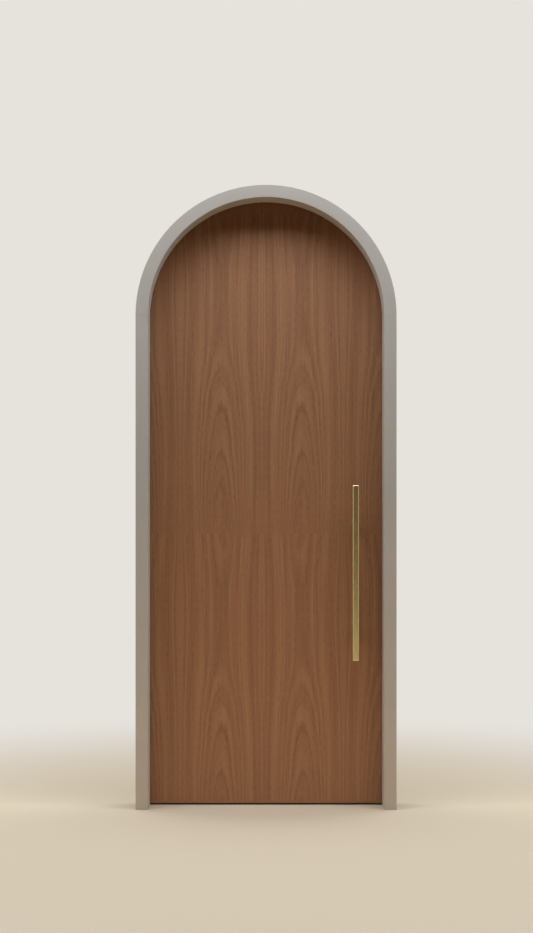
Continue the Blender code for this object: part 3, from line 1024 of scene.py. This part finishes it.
@dataclass
class PullBar:
    """A squared pull bar with rounded edges on one face of the leaf, on two round posts.

    Attributes:
        face: The face that it is on.
        finishes: The door's materials.
        edge_round: Radius of the bar's long edges.
        end_inset: How far the rounding of its ends reaches in from its sides.
        end_rise: How high that rounding is.
        end_band: Height of a straight band under that rounding, which keeps the long faces' shading flat.
        round_steps: Steps in each of these rounds.
        post_radius: Radius of a post.
        rose_radius: Radius of the collar at a post's foot.
        rose_thickness: Thickness of the collar.
        rose_round: Radius of the collar's eased rim.
        turns: Sides of the turned parts.
    """

    face: Face
    finishes: Finishes
    edge_round: float = 0.006
    end_inset: float = 0.008
    end_rise: float = 0.004
    end_band: float = 0.001
    round_steps: int = 8
    post_radius: float = 0.010
    rose_radius: float = 0.0135
    rose_thickness: float = 0.004
    rose_round: float = 0.0015
    turns: int = 64

    def bar(self) -> None:
        """Makes the bar, with its rounds finer than the frame's."""
        node = f"{self.face.name.lower()}_pull_bar"
        low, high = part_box(node)
        middle, size = (low + high) / 2, high - low
        bm = bmesh.new()
        straight = Matrix.Diagonal((size.x, size.y, size.z - 2 * (self.end_rise + self.end_band), 1))
        bmesh.ops.create_cube(bm, size=1, matrix=Matrix.Translation(middle) @ straight)
        upright = [edge for edge in bm.edges if abs(edge.verts[0].co.z - edge.verts[1].co.z) > size.x]
        ease_edges(bm, upright, self.edge_round, self.round_steps)
        for upward in (-1, 1):
            self.round_end(bm, middle, size, upward)
        finish_piece(bm, f"{node}_squared", self.finishes.brass, LEAF, "satin_brass", node)

    def round_end(self, bm: bmesh.types.BMesh, middle: Vector, size: Vector, upward: int) -> None:
        """Rounds one end of the bar over, step by step.

        Args:
            bm: The bar's shape, with flat ends.
            middle: The bar's middle.
            size: The whole bar's size.
            upward: 1 for the top end, -1 for the bottom end.
        """
        cap = max(bm.faces, key=lambda face: upward * face.calc_center_median().z)
        about = Matrix.Translation(-middle)
        share, risen = 1.0, 0.0
        for step in range(self.round_steps + 1):
            turn = step * math.pi / 2 / self.round_steps
            cap = bmesh.ops.extrude_discrete_faces(bm, faces=[cap])["faces"][0]
            rise = self.end_band + self.end_rise * math.sin(turn)
            kept = 1 - self.end_inset * (1 - math.cos(turn)) / (size.x / 2)
            bmesh.ops.translate(bm, verts=cap.verts, vec=(0, 0, upward * (rise - risen)))
            bmesh.ops.scale(bm, verts=cap.verts, vec=(kept / share, kept / share, 1), space=about)
            share, risen = kept, rise

    def post(self, place: str) -> None:
        """Makes a post with its collar.

        Args:
            place: Which post, lower or upper.
        """
        node = f"{self.face.name.lower()}_pull_{place}_post"
        low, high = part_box(node)
        outward = self.face.value
        foot = low.y if outward > 0 else high.y
        middle = (low + high) / 2
        length = high.y - low.y
        rim = (self.rose_radius - self.rose_round, self.rose_thickness - self.rose_round)
        profile = [
            (0, 0),
            (self.rose_radius, 0),
            *quarter_round(rim, self.rose_round, 0, 6),
            (self.post_radius, self.rose_thickness),
            (self.post_radius, length),
            (0, length),
        ]
        bm = bmesh.new()
        add_turned(bm, profile, Vector((middle.x, foot, middle.z)), Vector((0, outward, 0)), self.turns)
        finish_piece(bm, f"{node}_turned", self.finishes.brass, LEAF, "satin_brass", node)

    def build(self) -> None:
        """Makes the bar and both posts."""
        self.bar()
        for place in ("lower", "upper"):
            self.post(place)


@dataclass
class SocketScrews:
    """Screws with a low raised head and a six-sided socket, in a plate whose face looks along X.

    Attributes:
        finishes: The door's materials.
        radius: Radius of a head.
        proud: How far a head stands out of the plate.
        sunk: How far its rim runs into the plate.
        rim: Shares of a head's radius and of how far it stands out, through which its rim curves over.
        socket: Radius across the socket's corners.
        socket_depth: Depth of the socket.
        dish: How far the head's face dips towards the socket.
        sides: Sides of a head.
    """

    finishes: Finishes
    radius: float = 0.0042
    proud: float = 0.0008
    sunk: float = 0.0004
    rim: tuple[Pair, ...] = ((1.0, 0.3), (0.93, 0.75), (0.78, 1.0))
    socket: float = 0.0019
    socket_depth: float = 0.0007
    dish: float = 0.0001
    sides: int = 24

    def row(self, name: str, places: list[Vector], outward: float, body: str) -> None:
        """Makes one piece that holds several heads.

        Args:
            name: The piece's name.
            places: Middle of each head on the plate's face.
            outward: 1 where the face looks to +X, -1 where it looks to -X.
            body: The body that it rides on.
        """
        bm = bmesh.new()
        for place in places:
            self.head(bm, place, outward)
        finish_piece(bm, name, self.finishes.brass, body, "satin_brass")

    def head(self, bm: bmesh.types.BMesh, place: Vector, outward: float) -> None:
        """Adds one head to a bmesh, ring by ring from its rim to the socket's floor.

        Args:
            bm: The bmesh.
            place: Middle of the head on the plate's face.
            outward: Which way along X the face looks.
        """
        turn = Matrix.Rotation(math.pi / 2 * outward, 4, "Y")
        rings = (
            (self.radius, -self.sunk, self.sides),
            *((self.radius * out, self.proud * up, self.sides) for out, up in self.rim),
            (self.socket, self.proud - self.dish, 6),
            (self.socket, self.proud - self.socket_depth, 6),
        )
        loops = []
        for number, (radius, height, sides) in enumerate(rings):
            last = number in (0, len(rings) - 1)
            at = Matrix.Translation(place + Vector((outward * height, 0, 0))) @ turn
            made = bmesh.ops.create_circle(bm, cap_ends=last, segments=sides, radius=radius, matrix=at)
            loops.append(list(dict.fromkeys(edge for vert in made["verts"] for edge in vert.link_edges)))
        for inner, outer in zip(loops, loops[1:]):
            bmesh.ops.bridge_loops(bm, edges=[*inner, *outer])


@dataclass
class ButtHinge:
    """A butt hinge: two plates with rolled knuckles, its pin with a rounded head, and the screws.

    Attributes:
        number: Which hinge, from the floor up.
        doorway: The doorway's sizes.
        finishes: The door's materials.
        thickness: Thickness of a plate.
        corner: Radius of a plate's inner corners.
        eased: Bevel of a plate's rim and of the knuckles' ends.
        knuckles: How many knuckles both plates have together.
        knuckle_gap: Gap between two knuckles.
        knuckle_radius: Outer radius of a knuckle.
        bore: Radius of its bore.
        pin_radius: Radius of the pin.
        head_radius: Radius of the pin's head.
        head_height: Height of that head.
        head_round: Radius of its rounded rim.
        screws: Shares of the plate's height at which its screws sit.
        inset: Distance of the two rows of screws from the plate's inner edge.
        turns: Sides of the turned parts.
    """

    number: int
    doorway: Doorway
    finishes: Finishes
    thickness: float = 0.003
    corner: float = 0.006
    eased: float = 0.0004
    knuckles: int = 5
    knuckle_gap: float = 0.0004
    knuckle_radius: float = 0.0078
    bore: float = 0.0043
    pin_radius: float = 0.004
    head_radius: float = 0.0065
    head_height: float = 0.004
    head_round: float = 0.0015
    screws: tuple[float, ...] = (0.12, 0.38, 0.62, 0.88)
    inset: Pair = (0.010, 0.024)
    turns: int = 48

    def spans(self, low: float, high: float, first: int) -> list[Pair]:
        """Bottom and top of every other knuckle.

        Args:
            low: Bottom of the hinge.
            high: Top of the hinge.
            first: Number of the first knuckle.

        Returns:
            The spans, from the floor up.
        """
        pitch = (high - low + self.knuckle_gap) / self.knuckles
        return [
            (low + number * pitch, low + (number + 1) * pitch - self.knuckle_gap)
            for number in range(first, self.knuckles, 2)
        ]

    def outline(self, low: Vector, high: Vector, spans: list[Pair]) -> list[Pair]:
        """The plate's outline as Y and Z, with a tongue to each knuckle.

        Args:
            low: Low corner of the frame's plate.
            high: High corner of it.
            spans: The knuckles' bottoms and tops.

        Returns:
            Its corners in order.
        """
        root = self.doorway.back
        tip = self.doorway.pins[1] - self.pin_radius
        inner = low.y + self.corner
        corners = [
            *quarter_round((inner, high.z - self.corner), self.corner, math.pi / 2, 8),
            *quarter_round((inner, low.z + self.corner), self.corner, math.pi, 8),
            (root, low.z),
        ]
        for bottom, top in spans:
            corners += [(root, bottom), (tip, bottom), (tip, top), (root, top)]
        return list(dict.fromkeys([*corners, (root, high.z)]))

    def half(self, part: str, outward: int, face_x: float, first: int, body: str) -> None:
        """Makes one plate with its knuckles and screws.

        Args:
            part: The plate's name in the frame.
            outward: Which way along X its bare face looks.
            face_x: X of that face.
            first: Number of its first knuckle.
            body: The body that it rides on.
        """
        node = f"hinge_{self.number}_{part}"
        low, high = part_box(node)
        spans = self.spans(low.z, high.z, first)
        bm = bmesh.new()
        back_x = face_x - outward * self.thickness
        base = bm.faces.new([bm.verts.new((back_x, y, z)) for y, z in self.outline(low, high, spans)])
        grown = bmesh.ops.extrude_face_region(bm, geom=[base])["geom"]
        bare = next(item for item in grown if isinstance(item, bmesh.types.BMFace))
        bmesh.ops.translate(bm, verts=bare.verts, vec=(outward * self.thickness, 0, 0))
        ease_edges(bm, bare.edges[:], self.eased, 2)
        for bottom, top in spans:
            height = top - bottom
            tube = [
                (self.bore, 0),
                (self.knuckle_radius - self.eased, 0),
                (self.knuckle_radius, self.eased),
                (self.knuckle_radius, height - self.eased),
                (self.knuckle_radius - self.eased, height),
                (self.bore, height),
                (self.bore, 0),
            ]
            add_turned(bm, tube, Vector((*self.doorway.pins, bottom)), Vector((0, 0, 1)), self.turns)
        finish_piece(bm, f"{node}_rolled", self.finishes.brass, body, "satin_brass", node)
        places = [
            Vector((face_x, low.y + self.inset[index % 2], low.z + share * (high.z - low.z)))
            for index, share in enumerate(self.screws)
        ]
        SocketScrews(self.finishes).row(f"{node}_screws", places, outward, body)

    def pin(self) -> None:
        """Makes the pin."""
        node = f"hinge_{self.number}_pin"
        low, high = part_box(node)
        length = high.z - low.z
        shoulder = length - self.head_height
        rim = (self.head_radius - self.head_round, length - self.head_round)
        profile = [
            (0, 0),
            (self.pin_radius - self.eased, 0),
            (self.pin_radius, self.eased),
            (self.pin_radius, shoulder),
            (self.head_radius, shoulder),
            *quarter_round(rim, self.head_round, 0, 6),
            (0, length),
        ]
        bm = bmesh.new()
        add_turned(bm, profile, Vector((*self.doorway.pins, low.z)), Vector((0, 0, 1)), self.turns)
        finish_piece(bm, f"{node}_turned", self.finishes.brass, LINING, "satin_brass", node)

    def build(self) -> None:
        """Makes both plates and the pin."""
        jamb_face = self.doorway.middle - self.doorway.rebated
        leaf_face = self.doorway.middle - self.doorway.leaf_radius
        self.half("jamb_plate", 1, jamb_face, 0, LINING)
        self.half("leaf_plate", -1, leaf_face, 1, LEAF)
        self.pin()


@dataclass
class MagneticCatch:
    """The magnetic catch: dresses both plates and adds magnets and screws.

    Attributes:
        finishes: The door's materials.
        magnet_radius: Radius of a magnet.
        magnet_spacing: Distance of each magnet from the plate's middle.
        proud: How far a magnet stands out.
        eased: Bevel of a magnet's rim.
        turns: Sides of a magnet.
        screw_radius: Radius of a screw's head.
        screw_socket: Radius across its socket's corners.
        screw_inset: Distance of the screws from the plate's ends.
    """

    finishes: Finishes
    magnet_radius: float = 0.006
    magnet_spacing: float = 0.009
    proud: float = 0.0006
    eased: float = 0.0003
    turns: int = 40
    screw_radius: float = 0.0034
    screw_socket: float = 0.0015
    screw_inset: float = 0.008

    def build(self) -> None:
        """Dresses the plates and makes what sits in them."""
        rows = SocketScrews(self.finishes, radius=self.screw_radius, socket=self.screw_socket)
        disc = [
            (0, -self.proud),
            (self.magnet_radius, -self.proud),
            (self.magnet_radius, self.proud - self.eased),
            (self.magnet_radius - self.eased, self.proud),
            (0, self.proud),
        ]
        for node, outward, body in (("catch_keep", -1, LINING), ("catch_plate", 1, LEAF)):
            dress_nodes(self.finishes.brass, node)
            low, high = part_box(node)
            face_x = high.x if outward > 0 else low.x
            middle = Vector((face_x, (low.y + high.y) / 2, (low.z + high.z) / 2))
            reach = (high.z - low.z) / 2 - self.screw_inset
            places = [middle + Vector((0, 0, side * reach)) for side in (-1, 1)]
            rows.row(f"{node}_screws", places, outward, body)
            bm = bmesh.new()
            for side in (-1, 1):
                spot = middle + Vector((0, 0, side * self.magnet_spacing))
                add_turned(bm, disc, spot, Vector((outward, 0, 0)), self.turns)
            finish_piece(bm, f"{node}_magnets", self.finishes.nickel, body)


@dataclass(frozen=True)
class SoftLight:
    """A wide, soft, level light along one side of the door.

    Attributes:
        kind: What it is, for its name.
        near: Distance of its near edge from the lining.
        depth: Its depth away from the door.
        height: Its height over the floor.
        power: Its power in watts in front of the door.
        colour: Its colour.
        upward: Whether it shines up from the floor, unseen.
        width: Its width.
        back_share: Share of that power behind the door.
    """

    kind: str
    near: float
    depth: float
    height: float
    power: float
    colour: str
    upward: bool = False
    width: float = 10.0
    back_share: float = 0.8

    def hang(self, doorway: Doorway, face: Face) -> None:
        """Hangs the light.

        Args:
            doorway: The doorway's sizes.
            face: The side of the door.
        """
        name = f"{face.name.lower()}_{self.kind}_light"
        data = bpy.data.lights.new(name, "AREA")
        data.shape = "RECTANGLE"
        data.size = self.width
        data.size_y = self.depth
        data.energy = self.power if face is Face.FRONT else self.power * self.back_share
        data.color = linear(self.colour)[:3]
        lamp = bpy.data.objects.new(name, data)
        start = doorway.front if face is Face.FRONT else doorway.back
        lamp.location = (doorway.middle, start + face.value * (self.near + self.depth / 2), self.height)
        bpy.context.scene.collection.objects.link(lamp)
        if self.upward:
            lamp.rotation_euler = (math.pi, 0, 0)
            lamp.visible_camera = False
            lamp.visible_glossy = False


@dataclass
class Studio:
    """The plain pale floor, the background, the soft lights and the camera.

    Attributes:
        doorway: The doorway's sizes.
        distance: Camera's distance from the lining's front face.
        eye: The camera's height.
        sideways: How far the camera stands right of the doorway's middle.
        lens: Focal length on a 36 mm long side.
        frame_height: Height of the picture in pixels.
        horizon_drop: How far the horizon lies under the picture's middle, in pixels.
        floor_radius: Radius of the floor.
        floor_level: Its height, a hair under the door.
        floor_centre: Y of the middle of its lit part.
        floor: Its colour as it is seen.
        fade: Distances from that middle between which it fades into the background.
        near_bounce: What the floor near the door throws back of the light on it.
        far_bounce: What the floor away from the door throws back.
        bounce: Distances from that middle between which the one becomes the other.
        mirrored_floor: What the metal mirrors of the floor.
        dim: Distances to the side between which that dims.
        dimmest: What is left of it further out.
        backdrop: The background's colour.
        room_front: What the metal mirrors straight in front and behind.
        room_side: What it mirrors to the sides.
        room_turn: How far sideways a direction points where the one starts and ends to become the other.
        ambient: Strength of the light from all round.
        ambient_colour: Its colour.
        panel: The light panels under the ceiling.
        wash: The warm light on the floor, as a sunlit floor throws light up.
    """

    doorway: Doorway
    distance: float = 6.06
    eye: float = 1.1865
    sideways: float = 0.0018
    lens: float = 58.69
    frame_height: float = 933.0
    horizon_drop: float = 45.5
    floor_radius: float = 6.8
    floor_level: float = -0.0005
    floor_centre: float = -0.6
    floor: str = "#baa78d"
    fade: Pair = (0.9, 3.6)
    near_bounce: str = "#ffdeb4"
    far_bounce: str = "#3a3128"
    bounce: Pair = (1.1, 2.2)
    mirrored_floor: str = "#efe2ca"
    dim: Pair = (1.2, 3.5)
    dimmest: float = 0.45
    backdrop: str = "#e6e3dd"
    room_front: str = "#58413a"
    room_side: str = "#c6c3be"
    room_turn: Pair = (0.28, 0.71)
    ambient: float = 0.015
    ambient_colour: str = "#fff0da"
    panel: SoftLight = SoftLight("panel", near=0.54, depth=1.11, height=4.0, power=346.0, colour="#e7f1fb")
    wash: SoftLight = SoftLight(
        "floor", near=0.25, depth=0.8, height=0.001, power=9.5, colour="#ffd9a8", upward=True
    )

    def camera(self) -> None:
        """Sets the camera level, square to the door, with the photograph's shift."""
        data = bpy.data.cameras.new("camera")
        data.lens = self.lens
        data.sensor_width = 36.0
        data.shift_y = self.horizon_drop / self.frame_height
        camera = bpy.data.objects.new("camera", data)
        place = (self.doorway.middle + self.sideways, self.doorway.front - self.distance, self.eye)
        camera.location = place
        camera.rotation_euler = (math.pi / 2, 0, 0)
        bpy.context.scene.collection.objects.link(camera)
        bpy.context.scene.camera = camera

    def world(self) -> None:
        """Sets the light from all round, the pale background, and a dim room that the metal mirrors."""
        world = bpy.data.worlds.new("studio")
        world.use_nodes = True
        world.node_tree.nodes.clear()
        bpy.context.scene.world = world
        add = partial(add_node, world.node_tree)
        ray = add("LightPath").outputs
        light = add("Background", {"Color": linear(self.ambient_colour), "Strength": self.ambient})
        axes = add("SeparateXYZ", {0: add("TexCoord").outputs["Generated"]}).outputs
        sideways = add("Math", {0: axes["X"]}, operation="ABSOLUTE")
        aside = fade(add, sideways, *self.room_turn)
        walls = {0: aside, 6: linear(self.room_front), 7: linear(self.room_side)}
        room = add("Mix", walls, data_type="RGBA")
        seen = add("Background", {"Color": linear(self.backdrop), "Strength": 1.0})
        mirrored = add("Background", {"Color": room, "Strength": 1.0})
        straight = {0: ray["Is Camera Ray"], 1: ray["Is Transmission Ray"]}
        lit = add("MixShader", {0: ray["Is Glossy Ray"], 1: light, 2: mirrored})
        shown = add("MixShader", {0: add("Math", straight, operation="MAXIMUM"), 1: lit, 2: seen})
        add("OutputWorld", {"Surface": shown})

    def ground(self) -> None:
        """Lays a round floor that fades into the background away from the door."""
        bm = bmesh.new()
        bmesh.ops.create_circle(bm, cap_ends=True, segments=96, radius=self.floor_radius)
        bmesh.ops.translate(bm, verts=bm.verts, vec=(self.doorway.middle, 0, self.floor_level))
        mesh = bpy.data.meshes.new("floor")
        bm.to_mesh(mesh)
        bm.free()
        mesh.materials.append(self.pale_floor())
        floor = bpy.data.objects.new("floor", mesh)
        bpy.context.scene.collection.objects.link(floor)

    def pale_floor(self) -> bpy.types.Material:
        """Builds the floor's finish, which the camera, the metal and the light each see in their own way.

        Returns:
            The material.
        """
        material, add = new_material("pale_floor")
        material.cycles.emission_sampling = "NONE"
        ray = add("LightPath").outputs
        place = add("TexCoord").outputs["Object"]
        centre = (self.doorway.middle, self.floor_centre, 0)
        away = add("VectorMath", {0: place, 1: centre}, operation="DISTANCE")
        reach = {"Value": away, "From Min": self.fade[0], "From Max": self.fade[1]}
        far = add("MapRange", reach, interpolation_type="SMOOTHERSTEP")
        share = add("Math", {0: far, 1: ray["Is Camera Ray"]}, operation="MULTIPLY")
        beyond = fade(add, away, *self.bounce)
        thrown = add(
            "Mix", {0: beyond, 6: linear(self.near_bounce), 7: linear(self.far_bounce)}, data_type="RGBA"
        )
        colour = add("Mix", {0: ray["Is Camera Ray"], 6: thrown, 7: linear(self.floor)}, data_type="RGBA")
        matte = add("BsdfPrincipled", {"Base Color": colour, "Roughness": 0.8})
        glow = add("Emission", {"Color": linear(self.backdrop)})
        faded = add("MixShader", {0: share, 1: matte, 2: glow})
        axes = add("SeparateXYZ", {0: place}).outputs
        offset = add("Math", {0: axes["X"], 1: self.doorway.middle}, operation="SUBTRACT")
        aside = add("Math", {0: offset}, operation="ABSOLUTE")
        dim = {"Value": aside, "From Min": self.dim[0], "From Max": self.dim[1]}
        dimmed = add("MapRange", {**dim, "To Min": 1.0, "To Max": self.dimmest})
        gleam = add("Emission", {"Color": linear(self.mirrored_floor), "Strength": dimmed})
        mixed = add("MixShader", {0: ray["Is Glossy Ray"], 1: faded, 2: gleam})
        add("OutputMaterial", {"Surface": mixed})
        return material

    def build(self) -> None:
        """Sets up the whole studio."""
        bpy.context.scene.view_settings.view_transform = "Standard"
        self.camera()
        self.world()
        self.ground()
        for light in (self.panel, self.wash):
            for face in Face:
                light.hang(self.doorway, face)


def main() -> None:
    """Builds the door's looks in order and reports each piece."""
    logging.basicConfig(level=logging.INFO, format="%(name)s: %(message)s")
    doorway = Doorway.from_frame()
    Studio(doorway).build()
    finishes = Finishes.make(doorway)
    PlasteredLining(doorway, finishes).build()
    VeneeredLeaf(doorway, finishes).build()
    for number in range(1, 5):
        ButtHinge(number, doorway, finishes).build()
    MagneticCatch(finishes).build()
    for face in Face:
        PullBar(face, finishes).build()


if __name__ == "__main__":
    main()
